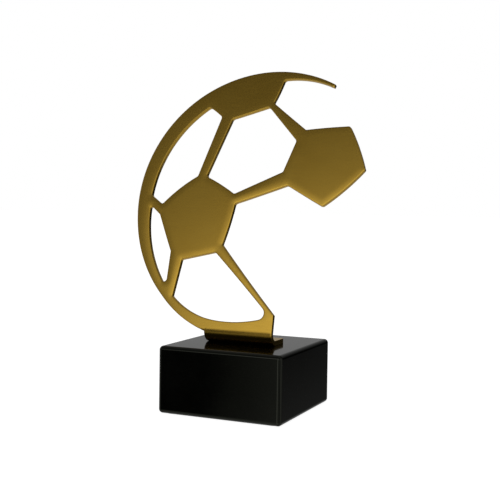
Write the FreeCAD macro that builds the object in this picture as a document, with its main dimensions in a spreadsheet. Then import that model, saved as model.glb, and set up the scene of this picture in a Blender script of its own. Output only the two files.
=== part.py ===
import FreeCAD, Part
import Sketcher
import math
import os

# Football figure trophy: a folded sheet-metal figure screwed onto a lacquered block.
# Millimetres. X runs along the block's front face, Y towards its back, Z up. The origin
# is the centre of the underside, on the surface that the trophy stands on.

Vector = FreeCAD.Vector
Rotation = FreeCAD.Rotation
Placement = FreeCAD.Placement

SHEET = "Dimensions"

# Two points closer than this, in millimetres, count as the same place.
SAME_PLACE = 0.05

# Left and right screw, as signs along X.
SCREW_SIDES = {"left": -1, "right": 1}

# Driving dimensions: alias, value in millimetres (degrees for an angle).
DRIVING = [
    ("base_width", 81.4),
    ("base_depth", 81),
    ("base_height", 41.2),
    ("base_rounding", 2.5),
    ("pad_thickness", 0.3),
    ("pad_inset", 3),
    ("pad_corner", 4),
    ("plate_thickness", 3),
    ("lean_angle", 15),
    ("fold_line", -14.07),
    ("bend_inside", 4),
    ("outline_left", -29.8),
    ("foot_left", -24.4),
    ("foot_left_height", 6.9),
    ("foot_right", 21.95),
    ("flange_back", 8.5),
    ("flange_rounding", 1.5),
    ("corner_fine", 1),
    ("corner_plain", 2),
    ("corner_wide", 4.2),
    ("screw_spacing", 26),
    ("screw_setback", 3),
    ("shank_radius", 2),
    ("shank_length", 18),
    ("shank_point", 4),
    ("head_radius", 3.9),
    ("head_height", 2.8),
    ("head_edge", 1.2),
    ("recess_width", 4.6),
    ("recess_slot", 1.1),
    ("recess_depth", 1.5),
    ("screw_clearance", 0.2),
    ("pilot_spare", 2),
]

# How closely the volume of a cut has to match the one worked out, as a share.
CUT_TOLERANCE = 0.01

# The figure lies in the leaning front plane: x is across, w runs up the plane from the
# fold line. A corner is (x, w, rounding, bow). The rounding names a driving radius, or is
# None where two arcs join. The bow is how far the edge to the next corner stands out to
# the left of a straight line; 0 is a straight edge.
RIM = [
    (45.9, 170.0, None, -11.5),
    (-43.3, 168.9, None, -11.6),
    (-86.85, 94.6, None, -7.4),
    (-58.5, 28.3, None, -1.85),
    (-29.8, "bend", None, 0),
    (21.95, "bend", None, 0),
    (21.7, 20.0, "corner_fine", 0.35),
    (-19.45, 63.45, "corner_fine", -0.5),
    (-14.2, 90.85, "corner_plain", -0.12),
    (20.8, 103.05, "corner_plain", -0.11),
    (45.7, 89.3, "corner_plain", -1.1),
    (71.15, 113.0, "corner_fine", -0.83),
    (58.7, 141.5, "corner_plain", -0.28),
    (29.3, 139.85, "corner_fine", 0.08),
    (4.6, 159.2, "corner_fine", -0.32),
    (10.3, 174.85, "corner_plain", 2.4),
    (45.2, 168.0, None, 0),
]
CENTRE_CELL = [
    (1.65, 156.45, "corner_plain", 0.07),
    (-23.9, 149.05, "corner_plain", 0),
    (-37.65, 109.2, "corner_plain", 0.6),
    (-15.8, 97.2, "corner_plain", 0),
    (16.75, 111.9, "corner_plain", 0),
    (23.65, 132.65, "corner_plain", 0),
]
UPPER_CELL = [
    (-41.85, 157.85, "corner_plain", -8.5),
    (-77.15, 96.0, "corner_plain", 0),
    (-68.1, 89.75, "corner_plain", 1.19),
    (-43.95, 109.35, "corner_plain", 0),
    (-31.85, 150.55, "corner_plain", -0.19),
]
SIDE_CELL = [
    (-76.7, 89.1, "corner_fine", -5.4),
    (-56.55, 33.8, "corner_plain", 0),
    (-56.55, 57.85, "corner_plain", 0.11),
    (-68.7, 82.7, "corner_plain", 0),
]
LOWER_CELL = [
    (-50.6, 28.5, "corner_fine", -2.8),
    (-18.0, 14.4, None, -2.0),
    (19.1, 18.6, "corner_wide", -0.29),
    (-23.7, 58.2, "corner_plain", 0),
    (-47.5, 52.65, "corner_fine", 0),
]
CELLS = [CENTRE_CELL, UPPER_CELL, SIDE_CELL, LOWER_CELL]


def make_sheet(doc):
    """Put the driving dimensions in a spreadsheet, one named cell each."""
    sheet = doc.addObject("Spreadsheet::Sheet", SHEET)
    for row, (alias, value) in enumerate(DRIVING, start=1):
        sheet.set(f"A{row}", alias)
        sheet.set(f"B{row}", str(value))
        sheet.setAlias(f"B{row}", alias)
    doc.recompute()
    return sheet


def bind(feature, **expressions):
    """Bind properties of a feature to formulas in the sheet's aliases."""
    for name, formula in expressions.items():
        feature.setExpression(name, formula)


def cell(alias):
    return f"{SHEET}.{alias}"


def new_body(doc, label, x="0", y="0", z="0"):
    """A body named after its piece, placed at the given formulas."""
    body = doc.addObject("PartDesign::Body", label)
    body.Label = label
    body.setExpression("Placement.Base.x", x)
    body.setExpression("Placement.Base.y", y)
    body.setExpression("Placement.Base.z", z)
    return body


def new_sketch(body, name, role):
    """A sketch on one of the body's own origin planes."""
    sketch = body.newObject("Sketcher::SketchObject", name)
    plane = next(f for f in body.Origin.OriginFeatures if f.Role == role)
    sketch.AttachmentSupport = (plane, [""])
    sketch.MapMode = "FlatFace"
    return sketch


def bowed_edge(start, end, bow):
    """A straight edge, or the arc that stands out to the left by bow."""
    if bow == 0:
        return Part.LineSegment(start, end)
    along = end - start
    left = Vector(-along.y, along.x, 0).normalize()
    return Part.Arc(start, (start + end) * 0.5 + left * bow, end)


def end_at(sketch, index, point):
    """Which end of an edge, 1 or 2, lies at the point."""
    first = sketch.getPoint(index, 1)
    last = sketch.getPoint(index, 2)
    return 1 if first.distanceToPoint(point) < last.distanceToPoint(point) else 2


def draw_loop(sketch, edges):
    """Add a closed loop of edges, given as (curve, start point), joined end to end."""
    first = sketch.GeometryCount
    for curve, _ in edges:
        sketch.addGeometry(curve, False)
    for i, (_, start) in enumerate(edges):
        before = first + (i - 1) % len(edges)
        here = first + i
        joint = (before, end_at(sketch, before, start), here, end_at(sketch, here, start))
        sketch.addConstraint(Sketcher.Constraint("Coincident", *joint))


def draw_outline(sketch, corners, bend):
    """Draw a list of corners as a closed loop. The word bend stands for its height."""
    points = [Vector(x, bend if w == "bend" else w, 0) for x, w, _, _ in corners]
    edges = []
    for i, (_, _, _, bow) in enumerate(corners):
        edges.append((bowed_edge(points[i], points[(i + 1) % len(points)], bow), points[i]))
    draw_loop(sketch, edges)


def draw_rectangle(sketch, width, depth):
    """A rectangle centred on the sketch's origin, its sides bound to two formulas."""
    start_size = 20  # any size: the two formulas set the real one
    half = start_size / 2
    points = [Vector(x * half, y * half, 0) for x, y in [(-1, -1), (1, -1), (1, 1), (-1, 1)]]
    sides = [(Part.LineSegment(a, b), a) for a, b in zip(points, points[1:] + points[:1])]
    draw_loop(sketch, sides)
    for side, kind in enumerate(["Horizontal", "Vertical", "Horizontal", "Vertical"]):
        sketch.addConstraint(Sketcher.Constraint(kind, side))
    sketch.addConstraint(Sketcher.Constraint("Symmetric", 0, 1, 2, 1, -1, 1))
    across = sketch.addConstraint(Sketcher.Constraint("Distance", 0, start_size))
    deep = sketch.addConstraint(Sketcher.Constraint("Distance", 1, start_size))
    sketch.setExpression(f"Constraints[{across}]", width)
    sketch.setExpression(f"Constraints[{deep}]", depth)


def draw_circle(sketch, x, y, radius):
    """A circle whose centre and radius are bound to formulas."""
    index = sketch.addGeometry(Part.Circle(Vector(1, 1, 0), Vector(0, 0, 1), 1), False)
    across = sketch.addConstraint(Sketcher.Constraint("DistanceX", -1, 1, index, 3, 1))
    along = sketch.addConstraint(Sketcher.Constraint("DistanceY", -1, 1, index, 3, 1))
    size = sketch.addConstraint(Sketcher.Constraint("Radius", index, 1))
    sketch.setExpression(f"Constraints[{across}]", x)
    sketch.setExpression(f"Constraints[{along}]", y)
    sketch.setExpression(f"Constraints[{size}]", radius)


def round_edges(doc, body, name, base, edges, radius):
    """Round the given edge numbers of the base feature to a driving radius."""
    fillet = body.newObject("PartDesign::Fillet", name)
    fillet.Base = (base, [f"Edge{number}" for number in edges])
    bind(fillet, Radius=cell(radius))
    doc.recompute()
    return fillet


def check_cut(name, before, after, expected):
    """Stop unless a cut took away the volume that it should."""
    removed = before.Shape.Volume - after.Shape.Volume
    close = abs(removed - expected) < CUT_TOLERANCE * expected
    assert close, f"{name}: {removed:.1f}, not {expected:.1f} mm3"


def bend_numbers(sheet):
    """Radius outside the fold, and how far its tangent lines reach along plate and base."""
    outside = sheet.bend_inside + sheet.plate_thickness
    turn = math.radians(90 + sheet.lean_angle)
    return outside, outside * math.tan(turn / 2)


def plane_point(sheet, x, w):
    """A point of the leaning front plane, in the ball plate's own frame."""
    lean = math.radians(sheet.lean_angle)
    return Vector(x, sheet.fold_line + w * math.sin(lean), w * math.cos(lean))


def corner_edges(sheet, shape, wanted):
    """Numbers of the edges that run through the plate at corners of the wanted rounding."""
    lean = math.radians(sheet.lean_angle)
    through = Vector(0, math.cos(lean), -math.sin(lean)) * sheet.plate_thickness
    middles = []
    for corners in [RIM] + CELLS:
        for x, w, rounding, _ in corners:
            if rounding == wanted:
                middles.append(plane_point(sheet, x, w) + through * 0.5)
    numbers = []
    for number, edge in enumerate(shape.Edges, start=1):
        centre = (edge.Vertexes[0].Point + edge.Vertexes[-1].Point) * 0.5
        if any(centre.distanceToPoint(middle) < SAME_PLACE for middle in middles):
            numbers.append(number)
    assert len(numbers) == len(middles), f"{wanted}: {len(numbers)} of {len(middles)} corners found"
    return numbers


def draw_foot_profile(sketch, sheet):
    """Section of the fold and flange: across is Y, up is Z, both from the base's top."""
    lean = math.radians(sheet.lean_angle)
    thickness = sheet.plate_thickness
    outside, reach = bend_numbers(sheet)
    inside = sheet.bend_inside
    centre = Vector(sheet.fold_line + reach, outside, 0)

    def on_bend(radius, angle):
        return centre + Vector(-math.cos(angle), -math.sin(angle), 0) * radius

    start = -lean
    middle = (start + math.pi / 2) / 2
    end = math.pi / 2
    heel = on_bend(outside, end)
    back = Vector(sheet.flange_back, 0, 0)
    back_top = Vector(sheet.flange_back, thickness, 0)
    inner_heel = on_bend(inside, end)
    outer_arc = Part.Arc(on_bend(outside, start), on_bend(outside, middle), heel)
    inner_arc = Part.Arc(inner_heel, on_bend(inside, middle), on_bend(inside, start))
    draw_loop(sketch, [
        (outer_arc, on_bend(outside, start)),
        (Part.LineSegment(heel, back), heel),
        (Part.LineSegment(back, back_top), back),
        (Part.LineSegment(back_top, inner_heel), back_top),
        (inner_arc, inner_heel),
        (Part.LineSegment(on_bend(inside, start), on_bend(outside, start)), on_bend(inside, start)),
    ])


def cut_foot_side(doc, body, sheet, foot):
    """Cut the foot's left side: the outline runs on to the bend, then straight down."""
    lean = math.radians(sheet.lean_angle)
    _, reach = bend_numbers(sheet)
    spare = sheet.plate_thickness
    beyond = sheet.outline_left - spare
    points = [
        Vector(beyond, -spare, 0),
        Vector(sheet.foot_left, -spare, 0),
        Vector(sheet.foot_left, sheet.foot_left_height, 0),
        Vector(sheet.outline_left, reach * math.cos(lean), 0),
        Vector(beyond, reach * math.cos(lean), 0),
    ]
    side = new_sketch(body, "foot_side_outline", "XZ_Plane")
    draw_loop(side, [(Part.LineSegment(a, b), a) for a, b in zip(points, points[1:] + points[:1])])
    cut = body.newObject("PartDesign::Pocket", "foot_side")
    cut.Profile = side
    cut.Midplane = True
    bind(cut, Length=cell("base_depth"))
    doc.recompute()
    assert cut.Shape.Volume < foot.Shape.Volume, "the foot's side wasn't cut"
    return cut


def make_ball_plate(doc, sheet):
    """The figure: a leaning openwork football with a folded foot, cut from one plate."""
    body = new_body(doc, "ball_plate", z=f"{cell('pad_thickness')} + {cell('base_height')}")
    _, reach = bend_numbers(sheet)

    def leaning_sketch(name):
        sketch = new_sketch(body, name, "XZ_Plane")
        sketch.AttachmentOffset = Placement(Vector(0, 0, 0), Rotation(Vector(1, 0, 0), -sheet.lean_angle))
        bind(sketch, **{
            "AttachmentOffset.Base.z": f"-{cell('fold_line')}",
            "AttachmentOffset.Rotation.Angle": f"-{cell('lean_angle')}",
        })
        return sketch

    rim = leaning_sketch("figure_outline")
    draw_outline(rim, RIM, reach)
    plate = body.newObject("PartDesign::Pad", "figure_plate")
    plate.Profile = rim
    plate.Reversed = True
    bind(plate, Length=cell("plate_thickness"))
    doc.recompute()

    openings = leaning_sketch("cell_outlines")
    for corners in CELLS:
        draw_outline(openings, corners, reach)
    cells = body.newObject("PartDesign::Pocket", "cells")
    cells.Profile = openings
    bind(cells, Length=cell("plate_thickness"))
    doc.recompute()

    rounded = cells
    for rounding in ["corner_fine", "corner_plain", "corner_wide"]:
        numbers = corner_edges(sheet, rounded.Shape, rounding)
        rounded = round_edges(doc, body, f"{rounding}_corners", rounded, numbers, rounding)

    profile = new_sketch(body, "foot_profile", "YZ_Plane")
    bind(profile, **{"AttachmentOffset.Base.z": cell("outline_left")})
    draw_foot_profile(profile, sheet)
    foot = body.newObject("PartDesign::Pad", "whole_foot")
    foot.Profile = profile
    bind(foot, Length=f"{cell('foot_right')} - {cell('outline_left')}")
    doc.recompute()
    foot = cut_foot_side(doc, body, sheet, foot)

    flange_corners = [
        number for number, edge in enumerate(foot.Shape.Edges, start=1)
        if all(abs(v.Y - sheet.flange_back) < SAME_PLACE for v in edge.Vertexes)
        and abs(edge.Vertexes[0].X - edge.Vertexes[-1].X) < SAME_PLACE
        and abs(edge.Vertexes[0].Z - edge.Vertexes[-1].Z) > SAME_PLACE
    ]
    assert len(flange_corners) == 2, f"{len(flange_corners)} flange corners found"
    flange = round_edges(doc, body, "flange_corners", foot, flange_corners, "flange_rounding")

    holes = new_sketch(body, "screw_hole_centres", "XY_Plane")
    for side in SCREW_SIDES:
        draw_circle(holes, screw_x(side), cell("screw_setback"),
                    f"{cell('shank_radius')} + {cell('screw_clearance')}")
    drilled = body.newObject("PartDesign::Pocket", "screw_holes")
    drilled.Profile = holes
    drilled.Reversed = True
    bind(drilled, Length=f"2 * {cell('plate_thickness')}")
    doc.recompute()
    hole_area = math.pi * (sheet.shank_radius + sheet.screw_clearance) ** 2
    check_cut("screw holes", flange, drilled, len(SCREW_SIDES) * hole_area * sheet.plate_thickness)
    return body


def screw_x(side):
    """Formula for a screw's X, either side of the middle of the foot."""
    middle = f"({cell('foot_left')} + {cell('foot_right')}) / 2"
    return f"{middle} + {SCREW_SIDES[side]} * {cell('screw_spacing')} / 2"


def make_base_block(doc, sheet):
    """The block, rounded on every edge, with two blind pilot holes in its top."""
    body = new_body(doc, "base_block", z=cell("pad_thickness"))
    square = new_sketch(body, "block_outline", "XY_Plane")
    draw_rectangle(square, cell("base_width"), cell("base_depth"))
    block = body.newObject("PartDesign::Pad", "block")
    block.Profile = square
    bind(block, Length=cell("base_height"))
    doc.recompute()
    every_edge = range(1, len(block.Shape.Edges) + 1)
    rounded = round_edges(doc, body, "block_edges", block, every_edge, "base_rounding")

    centres = new_sketch(body, "pilot_hole_centres", "XY_Plane")
    bind(centres, **{"AttachmentOffset.Base.z": cell("base_height")})
    for side in SCREW_SIDES:
        draw_circle(centres, screw_x(side), cell("screw_setback"), cell("shank_radius"))
    pilots = body.newObject("PartDesign::Pocket", "pilot_holes")
    pilots.Profile = centres
    bind(pilots, Length=f"{cell('shank_length')} - {cell('plate_thickness')} + {cell('pilot_spare')}")
    doc.recompute()
    depth = sheet.shank_length - sheet.plate_thickness + sheet.pilot_spare
    check_cut("pilot holes", rounded, pilots, len(SCREW_SIDES) * math.pi * sheet.shank_radius ** 2 * depth)
    return body


def make_base_pad(doc, sheet):
    """The thin non-slip pad stuck under the block, set in from its edges."""
    body = new_body(doc, "base_pad")
    outline = new_sketch(body, "pad_outline", "XY_Plane")
    draw_rectangle(outline, f"{cell('base_width')} - 2 * {cell('pad_inset')}",
                   f"{cell('base_depth')} - 2 * {cell('pad_inset')}")
    pad = body.newObject("PartDesign::Pad", "pad")
    pad.Profile = outline
    bind(pad, Length=cell("pad_thickness"))
    doc.recompute()
    upright = [
        number for number, edge in enumerate(pad.Shape.Edges, start=1)
        if abs(edge.Vertexes[0].Z - edge.Vertexes[-1].Z) > sheet.pad_thickness / 2
    ]
    round_edges(doc, body, "pad_corners", pad, upright, "pad_corner")
    return body


def make_screw(doc, sheet, side):
    """A pan-head wood screw with a cross recess; its own frame starts under the head."""
    height = f"{cell('pad_thickness')} + {cell('base_height')} + {cell('plate_thickness')}"
    body = new_body(doc, f"{side}_screw", x=screw_x(side), y=cell("screw_setback"), z=height)
    shank = sheet.shank_radius
    head = sheet.head_radius
    length = sheet.shank_length
    rise = sheet.head_height - sheet.head_edge
    dome = (head ** 2 + rise ** 2) / (2 * rise)
    half_turn = math.asin(head / dome) / 2
    rim = Vector(head, sheet.head_edge, 0)
    crown = Vector(0, sheet.head_height, 0)
    shoulder = crown + Vector(math.sin(half_turn), math.cos(half_turn) - 1, 0) * dome
    points = [
        Vector(0, -length, 0),
        Vector(shank, -length + sheet.shank_point, 0),
        Vector(shank, 0, 0),
        Vector(head, 0, 0),
        rim,
    ]
    edges = [(Part.LineSegment(a, b), a) for a, b in zip(points, points[1:])]
    edges.append((Part.Arc(rim, shoulder, crown), rim))
    edges.append((Part.LineSegment(crown, points[0]), crown))
    profile = new_sketch(body, f"{side}_screw_profile", "XZ_Plane")
    draw_loop(profile, edges)
    turned = body.newObject("PartDesign::Revolution", f"{side}_screw_turned")
    turned.Profile = profile
    turned.ReferenceAxis = (profile, ["V_Axis"])
    turned.Angle = 360
    doc.recompute()

    before = turned
    arms = [("slot", "recess_width", "recess_slot"), ("cross", "recess_slot", "recess_width")]
    for name, across, along in arms:
        recess = new_sketch(body, f"{side}_{name}", "XY_Plane")
        bind(recess, **{"AttachmentOffset.Base.z": cell("head_height")})
        draw_rectangle(recess, cell(across), cell(along))
        cut = body.newObject("PartDesign::Pocket", f"{side}_{name}_cut")
        cut.Profile = recess
        bind(cut, Length=cell("recess_depth"))
        doc.recompute()
        assert cut.Shape.Volume < before.Shape.Volume, f"{side} {name} cut nothing"
        before = cut
    return body


def check_and_export(doc, bodies):
    """Stop on a failed feature or a bad shape; otherwise write each piece's STEP file."""
    for item in doc.Objects:
        failed = [state for state in item.State if state in ("Invalid", "Error")]
        assert not failed, f"{item.Name} is {failed}"
    os.makedirs("parts", exist_ok=True)
    for body in bodies:
        shape = body.Shape
        assert not shape.isNull() and shape.isValid(), f"{body.Label} has a bad shape"
        assert len(shape.Solids) == 1, f"{body.Label} is {len(shape.Solids)} solids"
        shape.exportStep(os.path.join("parts", f"{body.Label}.step"))
        box = shape.BoundBox
        print(f"{body.Label}: {shape.Volume:.0f} mm3, X {box.XMin:.2f}..{box.XMax:.2f}, "
              f"Y {box.YMin:.2f}..{box.YMax:.2f}, Z {box.ZMin:.2f}..{box.ZMax:.2f}")


def main():
    doc = FreeCAD.newDocument("football_trophy")
    sheet = make_sheet(doc)
    bodies = [make_ball_plate(doc, sheet), make_base_block(doc, sheet), make_base_pad(doc, sheet)]
    bodies += [make_screw(doc, sheet, side) for side in SCREW_SIDES]
    doc.recompute()
    check_and_export(doc, bodies)


main()
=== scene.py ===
import math

import bmesh
import bpy
import numpy as np
from mathutils import Matrix, Vector, kdtree
from mathutils.geometry import delaunay_2d_cdt


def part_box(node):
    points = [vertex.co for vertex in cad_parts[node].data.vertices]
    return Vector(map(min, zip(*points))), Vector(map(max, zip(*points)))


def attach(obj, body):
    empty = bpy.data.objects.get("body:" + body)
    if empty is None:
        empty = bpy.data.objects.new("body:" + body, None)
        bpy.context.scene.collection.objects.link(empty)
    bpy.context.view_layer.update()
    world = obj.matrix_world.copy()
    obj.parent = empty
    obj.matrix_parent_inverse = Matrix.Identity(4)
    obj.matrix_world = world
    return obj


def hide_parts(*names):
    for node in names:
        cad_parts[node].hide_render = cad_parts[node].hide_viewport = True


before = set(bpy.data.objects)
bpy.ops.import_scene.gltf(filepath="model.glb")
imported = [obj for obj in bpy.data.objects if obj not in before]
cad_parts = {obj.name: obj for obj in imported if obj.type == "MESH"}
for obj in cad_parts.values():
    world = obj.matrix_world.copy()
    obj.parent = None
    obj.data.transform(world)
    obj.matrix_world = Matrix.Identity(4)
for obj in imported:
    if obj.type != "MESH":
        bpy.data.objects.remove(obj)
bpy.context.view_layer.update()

base_low, base_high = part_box("base_block")

MM = 0.001
CENTRE_X = (base_low.x + base_high.x) / 2
BASE_TOP = base_high.z

# --- The folded plate, in millimetres, as in the CAD part ---------------------------------
# The plate is drawn flat: x is across, s runs up the leaning face from the fold line. Below
# the start of the bend s carries on down, round the bend and back along the foot's flange.
THICKNESS = 3.0
LEAN = math.radians(15)
FOLD_LINE = -14.07
BEND_INSIDE = 4.0
BEND_OUTSIDE = BEND_INSIDE + THICKNESS
FLANGE_BACK = 8.5
FOOT_LEFT = -24.4
FOOT_LEFT_START = 7.15
FOOT_RIGHT = 21.95
SCREW_SPACING = 26.0
SCREW_SETBACK = 3.0
HOLE_RADIUS = 2.2

BEND_TURN = math.pi / 2 + LEAN
BEND_START = BEND_OUTSIDE * math.tan(BEND_TURN / 2)
BEND_END = BEND_START - BEND_OUTSIDE * BEND_TURN
HEEL_Y = FOLD_LINE + BEND_START
FLANGE_END = BEND_END - (FLANGE_BACK - HEEL_Y)

# How far a corner is rounded. A sharp one isn't.
FINE = 1.0
PLAIN = 2.0
WIDE = 4.2
FLANGE = 1.5
SHARP = None

# A corner is (x, s, rounding, bow): the bow is how far the edge to the next corner stands
# out to the left of a straight line.
RIM = [
    (45.9, 170.0, SHARP, -11.5),
    (-43.3, 168.9, SHARP, -11.6),
    (-86.85, 94.6, SHARP, -7.4),
    (-58.5, 28.3, SHARP, -1.85),
    (-29.8, BEND_START, SHARP, 0),
    (FOOT_LEFT, FOOT_LEFT_START, SHARP, 0),
    (FOOT_LEFT, FLANGE_END, FLANGE, 0),
    (FOOT_RIGHT, FLANGE_END, FLANGE, 0),
    (FOOT_RIGHT, BEND_START, SHARP, 0),
    (21.7, 20.0, FINE, 0.35),
    (-19.45, 63.45, FINE, -0.5),
    (-14.2, 90.85, PLAIN, -0.12),
    (20.8, 103.05, PLAIN, -0.11),
    (45.7, 89.3, PLAIN, -1.1),
    (71.15, 113.0, FINE, -0.83),
    (58.7, 141.5, PLAIN, -0.28),
    (29.3, 139.85, FINE, 0.08),
    (4.6, 159.2, FINE, -0.32),
    (10.3, 174.85, PLAIN, 2.4),
    (45.2, 168.0, SHARP, 0),
]
CELLS = [
    [
        (1.65, 156.45, PLAIN, 0.07),
        (-23.9, 149.05, PLAIN, 0),
        (-37.65, 109.2, PLAIN, 0.6),
        (-15.8, 97.2, PLAIN, 0),
        (16.75, 111.9, PLAIN, 0),
        (23.65, 132.65, PLAIN, 0),
    ],
    [
        (-41.85, 157.85, PLAIN, -8.5),
        (-77.15, 96.0, PLAIN, 0),
        (-68.1, 89.75, PLAIN, 1.19),
        (-43.95, 109.35, PLAIN, 0),
        (-31.85, 150.55, PLAIN, -0.19),
    ],
    [
        (-76.7, 89.1, FINE, -5.4),
        (-56.55, 33.8, PLAIN, 0),
        (-56.55, 57.85, PLAIN, 0.11),
        (-68.7, 82.7, PLAIN, 0),
    ],
    [
        (-50.6, 28.5, FINE, -2.8),
        (-18.0, 14.4, SHARP, -2.0),
        (19.1, 18.6, WIDE, -0.29),
        (-23.7, 58.2, PLAIN, 0),
        (-47.5, 52.65, FINE, 0),
    ],
]

# The finish of the plate's edges: rounded rims, and a wide, soft slope round the front face.
# The slope grows from SLOPE_START to SLOPE_FULL up the plate, and loses FADED_SHARE of itself
# from FADE_START to FADE_END.
FRONT_ROUNDING = 0.22
BACK_ROUNDING = 0.2
SLOPE_DROP = 0.14
SLOPE_WIDTH = 4.5
SLOPE_START = 12.0
SLOPE_FULL = 30.0
FADE_START = 90.0
FADE_END = 125.0
FADED_SHARE = 0.7

# How fine the plate's mesh is. Its outlines have points OUTLINE_STEP apart, or ROUNDING_STEP
# of the rounding at a corner. Inside them run rows of points, each kept where it is at least
# RING_SHARE of the row's distance from every edge. A grid fills the rest, and stays
# GRID_CLEARANCE of its step off the last row.
OUTLINE_STEP = 0.8
ROUNDING_STEP = 0.2
HOLE_POINTS = 40
RIM_STEPS = 5
ROWS_INSIDE = [0.9, 1.5]
RING_SHARE = 0.97
GRID_STEP = 1.3
GRID_CLEARANCE = 0.5
SAME_POINT = 1e-4

# How many times a corner's circle is moved towards the place where it touches both edges.
CORNER_PASSES = 20


def curve_circle(start, end, bow):
    """Centre and radius of the arc whose middle stands out to the left by bow."""
    along = end - start
    chord = np.linalg.norm(along)
    left = np.array([-along[1], along[0]]) / chord
    radius = (chord ** 2 / 4 + bow ** 2) / (2 * abs(bow))
    return (start + end) / 2 + left * (bow - math.copysign(radius, bow)), radius


def signed_distance(point, curve):
    """Distance to the left of a curve, and the direction in which it grows."""
    start, end, bow = curve
    if bow == 0:
        along = (end - start) / np.linalg.norm(end - start)
        left = np.array([-along[1], along[0]])
        return float(np.dot(point - start, left)), left
    centre, radius = curve_circle(start, end, bow)
    away = point - centre
    length = np.linalg.norm(away)
    side = math.copysign(1, bow)
    return side * (length - radius), side * away / length


def corner_rounding(before, after, radius):
    """Centre and two touching points of the circle that rounds the corner of two curves."""
    corner = after[0]
    into = (corner - before[0]) / np.linalg.norm(corner - before[0])
    out = (after[1] - corner) / np.linalg.norm(after[1] - corner)
    side = math.copysign(radius, into[0] * out[1] - into[1] * out[0])
    centre = corner + (out - into) * radius
    for _ in range(CORNER_PASSES):
        distance_1, away_1 = signed_distance(centre, before)
        distance_2, away_2 = signed_distance(centre, after)
        missing = [side - distance_1, side - distance_2]
        centre = centre + np.linalg.solve([away_1, away_2], missing)
    distance_1, away_1 = signed_distance(centre, before)
    distance_2, away_2 = signed_distance(centre, after)
    return centre, centre - away_1 * distance_1, centre - away_2 * distance_2


def run_points(first, last, centre, step):
    """Points from first up to, but without, last: straight, or round a centre."""
    if centre is None:
        count = max(1, math.ceil(np.linalg.norm(last - first) / step))
        return [first + (last - first) * k / count for k in range(count)]
    radius = np.linalg.norm(first - centre)
    angle = math.atan2(first[1] - centre[1], first[0] - centre[0])
    turn = math.atan2(last[1] - centre[1], last[0] - centre[0]) - angle
    turn = (turn + math.pi) % math.tau - math.pi
    count = max(1, math.ceil(abs(turn) * radius / step))
    angles = [angle + turn * k / count for k in range(count)]
    return [centre + radius * np.array([math.cos(a), math.sin(a)]) for a in angles]


def outline_points(corners):
    """A closed outline of bowed edges and rounded corners as an array of points."""
    places = [np.array(corner[:2], float) for corner in corners]
    count = len(corners)
    curves = [(places[i], places[(i + 1) % count], corners[i][3]) for i in range(count)]
    roundings = []
    for i, (_, _, rounding, _) in enumerate(corners):
        if rounding is SHARP:
            roundings.append((None, places[i], places[i]))
        else:
            roundings.append(corner_rounding(curves[i - 1], curves[i], rounding))
    points = []
    for i, (centre, enter, leave) in enumerate(roundings):
        if centre is not None:
            step = min(OUTLINE_STEP, ROUNDING_STEP * corners[i][2])
            points += run_points(enter, leave, centre, step)
        start, end, bow = curves[i]
        middle = curve_circle(start, end, bow)[0] if bow else None
        points += run_points(leave, roundings[(i + 1) % count][1], middle, OUTLINE_STEP)
    return np.array(points)


def circle_points(x, s, radius):
    """A round hole as an array of points."""
    angles = np.arange(HOLE_POINTS) * math.tau / HOLE_POINTS
    return np.stack([x + radius * np.cos(angles), s + radius * np.sin(angles)], axis=1)


def inside(points, loops):
    """Which points lie in the metal: inside an odd number of the loops."""
    odd = np.zeros(len(points), bool)
    for loop in loops:
        for (x0, y0), (x1, y1) in zip(loop, np.roll(loop, -1, axis=0)):
            if y0 == y1:
                continue
            crosses = (points[:, 1] > y0) != (points[:, 1] > y1)
            where = x0 + (points[:, 1] - y0) * (x1 - x0) / (y1 - y0)
            odd ^= crosses & (points[:, 0] < where)
    return odd


def inward_normals(loop, is_hole):
    """Unit directions from an outline's points into the metal."""
    ahead = np.roll(loop, -1, axis=0) - loop
    ahead /= np.linalg.norm(ahead, axis=1)[:, None]
    along = ahead + np.roll(ahead, 1, axis=0)
    along /= np.linalg.norm(along, axis=1)[:, None]
    x, y = loop.T
    area = np.sum(x * np.roll(y, -1) - y * np.roll(x, -1))
    side = math.copysign(1, area) * (-1 if is_hole else 1)
    return side * np.stack([-along[:, 1], along[:, 0]], axis=1)


class EdgeDistance:
    """Distance from any point of the flat plate to its nearest outline."""

    def __init__(self, loops):
        self.starts = np.concatenate(loops)
        self.ends = np.concatenate([np.roll(loop, -1, axis=0) for loop in loops])
        self.before = np.concatenate([
            np.roll(np.arange(len(loop)), 1) + first
            for loop, first in zip(loops, np.cumsum([0] + [len(loop) for loop in loops[:-1]]))
        ])
        self.tree = kdtree.KDTree(len(self.starts))
        for index, (x, y) in enumerate(self.starts):
            self.tree.insert((x, y, 0), index)
        self.tree.balance()

    def to_segment(self, points, index):
        """Distance from each point to the outline segment that its index names."""
        start = self.starts[index]
        along = self.ends[index] - start
        part = np.sum((points - start) * along, axis=1) / np.sum(along * along, axis=1)
        foot = start + along * np.clip(part, 0, 1)[:, None]
        return np.linalg.norm(points - foot, axis=1)

    def __call__(self, points):
        """Distance from each point to the nearer of the segments at its nearest corner."""
        after = np.array([self.tree.find((x, y, 0))[1] for x, y in points])
        before = self.before[after]
        return np.minimum(self.to_segment(points, after), self.to_segment(points, before))


def smooth(value):
    """0 below 0, 1 above 1, and a smooth step between."""
    value = np.clip(value, 0, 1)
    return value * value * (3 - 2 * value)


def rim_drop(distance, radius):
    """How far a face's rounded rim lies below the face, by distance from the edge."""
    left = np.clip(radius - distance, 0, radius)
    return radius - np.sqrt(radius ** 2 - left ** 2)


def slope_drop(distance, s):
    """How far the front face slopes away towards its edge: flat on the foot, faint at the top."""
    slope = SLOPE_DROP * (1 - np.clip(distance / SLOPE_WIDTH, 0, 1)) ** 2
    above_foot = smooth((s - SLOPE_START) / (SLOPE_FULL - SLOPE_START))
    near_top = smooth((s - FADE_START) / (FADE_END - FADE_START))
    return slope * above_foot * (1 - FADED_SHARE * near_top)


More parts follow.
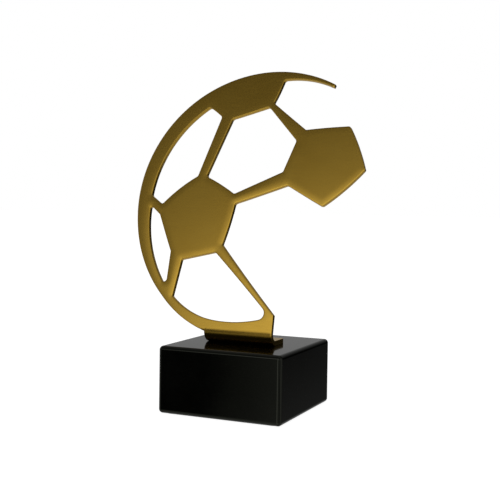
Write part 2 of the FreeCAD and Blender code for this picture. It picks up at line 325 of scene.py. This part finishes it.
def folded(flat, depth):
    """Fold flat points (x, s) at a depth behind the front face into place, in metres."""
    x, s = flat.T
    up = s * math.cos(LEAN) - depth * math.sin(LEAN)
    back = FOLD_LINE + s * math.sin(LEAN) + depth * math.cos(LEAN)
    angle = np.clip((BEND_START - s) / BEND_OUTSIDE, 0, BEND_TURN) - LEAN
    radius = BEND_OUTSIDE - depth
    bend_back = HEEL_Y - radius * np.cos(angle)
    bend_up = BEND_OUTSIDE - radius * np.sin(angle)
    flange_back = HEEL_Y + BEND_END - s
    on_face, on_flange = s >= BEND_START, s <= BEND_END
    y = np.where(on_face, back, np.where(on_flange, flange_back, bend_back))
    z = np.where(on_face, up, np.where(on_flange, depth, bend_up))
    return np.stack([CENTRE_X + x * MM, y * MM, BASE_TOP + z * MM], axis=1)


def plate_layout(loops):
    """Flat points and triangles that fill the outline, finer towards the edges."""
    distance = EdgeDistance(loops)
    steps = [1 - math.cos(math.pi / 2 * k / RIM_STEPS) for k in range(1, RIM_STEPS + 1)]
    rows = [FRONT_ROUNDING * step for step in steps] + ROWS_INSIDE
    points = [np.concatenate(loops)]
    for row in rows:
        ring = np.concatenate([
            loop + row * inward_normals(loop, is_hole=number > 0)
            for number, loop in enumerate(loops)
        ])
        points.append(ring[distance(ring) > RING_SHARE * row])
    low, high = loops[0].min(axis=0), loops[0].max(axis=0)
    grid = []
    for number, s in enumerate(np.arange(low[1], high[1], GRID_STEP * math.sqrt(3) / 2)):
        shift = GRID_STEP / 2 * (number % 2)
        grid += [(x + shift, s) for x in np.arange(low[0], high[0], GRID_STEP)]
    grid = np.array(grid)
    grid = grid[inside(grid, loops)]
    points.append(grid[distance(grid) > ROWS_INSIDE[-1] + GRID_CLEARANCE * GRID_STEP])
    points = np.concatenate(points)

    edges = []
    first = 0
    for loop in loops:
        edges += [(first + k, first + (k + 1) % len(loop)) for k in range(len(loop))]
        first += len(loop)
    filled = delaunay_2d_cdt([Vector(p) for p in points], edges, [], 0, SAME_POINT)
    flat = np.array([tuple(p) for p in filled[0]])
    triangles = np.array(filled[2])
    triangles = triangles[inside(flat[triangles].mean(axis=1), loops)]
    return flat, triangles, distance(flat)


def border_edges(triangles):
    """Edges that only one triangle has, in that triangle's direction."""
    edges = {}
    for a, b, c in triangles.tolist():
        for edge in ((a, b), (b, c), (c, a)):
            edges[edge] = True
    return [edge for edge in edges if (edge[1], edge[0]) not in edges]


def make_ball_plate():
    """The leaning football figure with its folded foot, cut from one plate."""
    loops = [outline_points(RIM)] + [outline_points(corners) for corners in CELLS]
    hole_s = FLANGE_END + FLANGE_BACK - SCREW_SETBACK
    middle = (FOOT_LEFT + FOOT_RIGHT) / 2
    for side in (-1, 1):
        loops.append(circle_points(middle + side * SCREW_SPACING / 2, hole_s, HOLE_RADIUS))
    flat, triangles, distance = plate_layout(loops)
    front = folded(flat, rim_drop(distance, FRONT_ROUNDING) + slope_drop(distance, flat[:, 1]))
    back = folded(flat, THICKNESS - rim_drop(distance, BACK_ROUNDING))
    count = len(flat)
    faces = [tuple(t) for t in triangles.tolist()]
    faces += [(c + count, b + count, a + count) for a, b, c in triangles.tolist()]
    faces += [(b, a, a + count, b + count) for a, b in border_edges(triangles)]
    mesh = bpy.data.meshes.new("ball_plate_mesh")
    mesh.from_pydata(np.concatenate([front, back]).tolist(), [], faces)
    flat_map = mesh.uv_layers.new(name="along_the_plate")
    corners = np.zeros(len(mesh.loops), int)
    mesh.loops.foreach_get("vertex_index", corners)
    flat_map.uv.foreach_set("vector", (flat[corners % count] * MM).ravel())
    return finish_piece(mesh, "figure_plate", "ball_plate", gold())


def finish_piece(mesh, name, node, material):
    """Make a piece of a mesh, clean its faces, and let it stand for its CAD node."""
    cleaned = bmesh.new()
    cleaned.from_mesh(mesh)
    loose = [v for v in cleaned.verts if not v.link_faces]
    bmesh.ops.delete(cleaned, geom=loose, context="VERTS")
    bmesh.ops.recalc_face_normals(cleaned, faces=cleaned.faces)
    cleaned.to_mesh(mesh)
    cleaned.free()
    mesh.shade_smooth()
    piece = bpy.data.objects.new(name, mesh)
    bpy.context.scene.collection.objects.link(piece)
    piece.data.materials.append(material)
    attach(piece, "root")
    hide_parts(node)
    return piece


# --- Materials ----------------------------------------------------------------------------

# The part of a noise pattern's range that most of it lies in.
NOISE_LOW = 0.3
NOISE_HIGH = 0.7


class Look:
    """A material under construction: its node tree and its main shader."""

    def __init__(self, name):
        self.material = bpy.data.materials.new(name)
        self.material.use_nodes = True
        self.nodes = self.material.node_tree.nodes
        self.shader = self.nodes["Principled BSDF"]

    def node(self, kind, **inputs):
        made = self.nodes.new(kind)
        for name, value in inputs.items():
            made.inputs[name.replace("_", " ")].default_value = value
        return made

    def link(self, source, target):
        self.material.node_tree.links.new(source, target)

    def set(self, **inputs):
        for name, value in inputs.items():
            self.shader.inputs[name.replace("_", " ")].default_value = value

    def coordinates(self, kind, scale):
        """Stretched texture coordinates: Object for solids, UV for the plate."""
        source = self.nodes.new("ShaderNodeTexCoord")
        mapping = self.node("ShaderNodeMapping", Scale=scale)
        self.link(source.outputs[kind], mapping.inputs["Vector"])
        return mapping.outputs["Vector"]

    def noise(self, vector, **inputs):
        made = self.node("ShaderNodeTexNoise", **inputs)
        self.link(vector, made.inputs["Vector"])
        return made.outputs["Fac"]

    def blend(self, factor, low, high, target):
        """Colour an input by a ramp from low to high."""
        ramp = self.nodes.new("ShaderNodeValToRGB")
        first, last = ramp.color_ramp.elements
        first.position = NOISE_LOW
        last.position = NOISE_HIGH
        first.color = (*low, 1)
        last.color = (*high, 1)
        self.link(factor, ramp.inputs["Fac"])
        self.link(ramp.outputs["Color"], self.shader.inputs[target])

    def vary(self, factor, low, high, target):
        """Let an input range from low to high."""
        spread = self.node("ShaderNodeMapRange", From_Min=NOISE_LOW, From_Max=NOISE_HIGH)
        spread.inputs["To Min"].default_value = low
        spread.inputs["To Max"].default_value = high
        self.link(factor, spread.inputs["Value"])
        self.link(spread.outputs["Result"], self.shader.inputs[target])

    def bump(self, height, depth, strength):
        """Raise the surface by a height pattern, depth in metres."""
        made = self.node("ShaderNodeBump", Strength=strength, Distance=depth)
        self.link(height, made.inputs["Height"])
        self.link(made.outputs["Normal"], self.shader.inputs["Normal"])


def gold():
    """Satin gold finish on metal, finely brushed across the plate."""
    look = Look("gold_plate")
    look.set(Metallic=1.0)
    across = look.coordinates("UV", scale=(60, 2600, 1))
    even = look.coordinates("UV", scale=(25, 25, 1))
    brushed = look.noise(across, Scale=1.0, Detail=3.0, Roughness=0.6)
    cloudy = look.noise(even, Scale=1.0, Detail=4.0, Roughness=0.6)
    look.blend(cloudy, low=(0.72, 0.44, 0.062), high=(0.78, 0.49, 0.075), target="Base Color")
    look.vary(brushed, low=0.17, high=0.23, target="Roughness")
    look.bump(brushed, depth=0.00002, strength=0.15)
    return look.material


def lacquer():
    """Satin black lacquer over smooth wood: a faint orange peel, and a little dust and wear."""
    look = Look("black_lacquer")
    look.set(IOR=1.5, Specular_Tint=(0.95, 1.0, 0.8, 1))
    solid = look.coordinates("Object", scale=(1, 1, 1))
    peel = look.noise(solid, Scale=420.0, Detail=2.0)
    cloudy = look.noise(solid, Scale=38.0, Detail=5.0, Roughness=0.65)
    look.blend(cloudy, low=(0.0006, 0.0007, 0.0005), high=(0.0013, 0.0014, 0.0010), target="Base Color")
    look.vary(cloudy, low=0.08, high=0.12, target="Roughness")
    look.bump(peel, depth=0.00003, strength=0.12)
    return look.material


def pad_rubber():
    """Matte foamed rubber with fine open pores."""
    look = Look("pad_rubber")
    solid = look.coordinates("Object", scale=(1, 1, 1))
    pores = look.noise(solid, Scale=1500.0, Detail=3.0, Roughness=0.7)
    look.blend(pores, low=(0.012, 0.012, 0.012), high=(0.03, 0.03, 0.03), target="Base Color")
    look.vary(pores, low=0.8, high=0.95, target="Roughness")
    look.bump(pores, depth=0.0002, strength=0.5)
    return look.material


def screw_steel():
    """Zinc-plated steel: a pale, slightly uneven sheen."""
    look = Look("screw_steel")
    look.set(Metallic=1.0)
    solid = look.coordinates("Object", scale=(1, 1, 1))
    cloudy = look.noise(solid, Scale=600.0, Detail=4.0)
    look.blend(cloudy, low=(0.50, 0.50, 0.48), high=(0.62, 0.61, 0.58), target="Base Color")
    look.vary(cloudy, low=0.25, high=0.42, target="Roughness")
    look.bump(cloudy, depth=0.00002, strength=0.2)
    return look.material


def carry_over(node, material):
    """Give a CAD node that is shown as it is its material."""
    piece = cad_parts[node]
    piece.data.materials.clear()
    piece.data.materials.append(material)
    return piece


# --- Studio -------------------------------------------------------------------------------

FLOOR_HALF = 30.0
CAMERA_PLACE = (0.23598, -0.51075, 0.12430)
CAMERA_YAW = math.radians(24.02)
CAMERA_PITCH = math.radians(-1.67)
CAMERA_ROLL = math.radians(0.81)
CAMERA_LENS = 64.31
CAMERA_SENSOR = 36
CAMERA_SHIFT = (-0.0206, -0.0254)

# Soft glows round the studio: azimuth from the front towards the right, elevation, spread
# (all in degrees), brightness at the middle and the most that shows. A negative brightness
# is a dark screen.
AMBIENT = 0.08
GLOWS = [
    (0, -9, 12.5, 60.0, 0.75),
    (-25.5, 21, 3.5, 0.3, 1.0),
    (-62, 30, 14, 0.11, 1.0),
    (-85, 8, 16, 0.4, 1.0),
    (75, 10, 18, 0.45, 1.0),
    (-156, 8, 24, 0.235, 1.0),
    (0, 90, 20, 0.25, 1.0),
    (0, -90, 29, 2.4, 0.3),
    (156, -8, 20, -0.18, 0.0),
    (-45, 52, 20, -0.05, 0.0),
    (-28, -11, 10, -1.25, 0.0),
    (18, -18, 22, -0.85, 0.0),
    (-17, -14, 7, 1.2, 0.5),
    (-27, 7, 5, -0.55, 0.0),
    (-28, -31, 7, -0.65, 0.0),
]
FLOOR_PALE = (0.8, 0.8, 0.8, 1)
FLOOR_GLOW = 0.93


def make_floor():
    """A plain pale floor that glows softly, like a light table. Reflections pass it by."""
    mesh = bpy.data.meshes.new("floor_mesh")
    half = FLOOR_HALF
    corners = [(-half, -half, 0), (half, -half, 0), (half, half, 0), (-half, half, 0)]
    mesh.from_pydata(corners, [], [(0, 1, 2, 3)])
    floor = bpy.data.objects.new("floor", mesh)
    bpy.context.scene.collection.objects.link(floor)
    floor.visible_glossy = False
    look = Look("pale_floor")
    look.set(Base_Color=FLOOR_PALE, Roughness=1.0, Specular_IOR_Level=0.0)
    look.set(Emission_Color=(1, 1, 1, 1), Emission_Strength=FLOOR_GLOW)
    floor.data.materials.append(look.material)


def compass(azimuth, elevation):
    """Unit direction from angles in degrees; azimuth 0 is the front, 90 the right."""
    a, e = math.radians(azimuth), math.radians(elevation)
    return (math.sin(a) * math.cos(e), -math.cos(a) * math.cos(e), math.sin(e))


def make_surroundings():
    """Soft glows round the object. The camera itself sees a plain white background."""
    world = bpy.data.worlds.new("studio")
    bpy.context.scene.world = world
    world.use_nodes = True
    nodes, links = world.node_tree.nodes, world.node_tree.links

    def math_node(operation, first, second=0.0):
        made = nodes.new("ShaderNodeMath")
        made.operation = operation
        for number, value in enumerate((first, second)):
            if isinstance(value, (int, float)):
                made.inputs[number].default_value = value
            else:
                links.new(value, made.inputs[number])
        return made.outputs["Value"]

    direction = nodes.new("ShaderNodeTexCoord").outputs["Generated"]
    level = AMBIENT
    for azimuth, elevation, spread, brightness, limit in GLOWS:
        nearness = nodes.new("ShaderNodeVectorMath")
        nearness.operation = "DOT_PRODUCT"
        nearness.inputs[1].default_value = compass(azimuth, elevation)
        links.new(direction, nearness.inputs[0])
        falloff = math_node("SUBTRACT", nearness.outputs["Value"], 1.0)
        falloff = math_node("MULTIPLY", falloff, 1 / math.radians(spread) ** 2)
        glow = math_node("MULTIPLY", math_node("EXPONENT", falloff), brightness)
        glow = math_node("MINIMUM", glow, limit)
        level = math_node("ADD", glow, level)
    level = math_node("MAXIMUM", level, 0.0)
    seen = nodes.new("ShaderNodeLightPath").outputs["Is Camera Ray"]
    level = math_node("MAXIMUM", level, seen)
    links.new(level, nodes["Background"].inputs["Strength"])
    nodes["Background"].inputs["Color"].default_value = (1, 1, 1, 1)


def make_camera():
    """The camera, at the viewing angle of the front right corner."""
    lens = bpy.data.cameras.new("camera")
    lens.lens = CAMERA_LENS
    lens.sensor_width = CAMERA_SENSOR
    lens.shift_x, lens.shift_y = CAMERA_SHIFT
    camera = bpy.data.objects.new("camera", lens)
    bpy.context.scene.collection.objects.link(camera)
    turn = Matrix.Rotation(CAMERA_YAW, 4, "Z") @ Matrix.Rotation(math.pi / 2 + CAMERA_PITCH, 4, "X")
    camera.matrix_world = Matrix.Translation(CAMERA_PLACE) @ turn @ Matrix.Rotation(CAMERA_ROLL, 4, "Z")
    bpy.context.scene.camera = camera


make_ball_plate()
carry_over("base_block", lacquer())
carry_over("base_pad", pad_rubber())
steel = screw_steel()
for side in ("left", "right"):
    carry_over(f"{side}_screw", steel)
make_floor()
make_surroundings()
make_camera()
bpy.context.scene.view_settings.view_transform = "Standard"
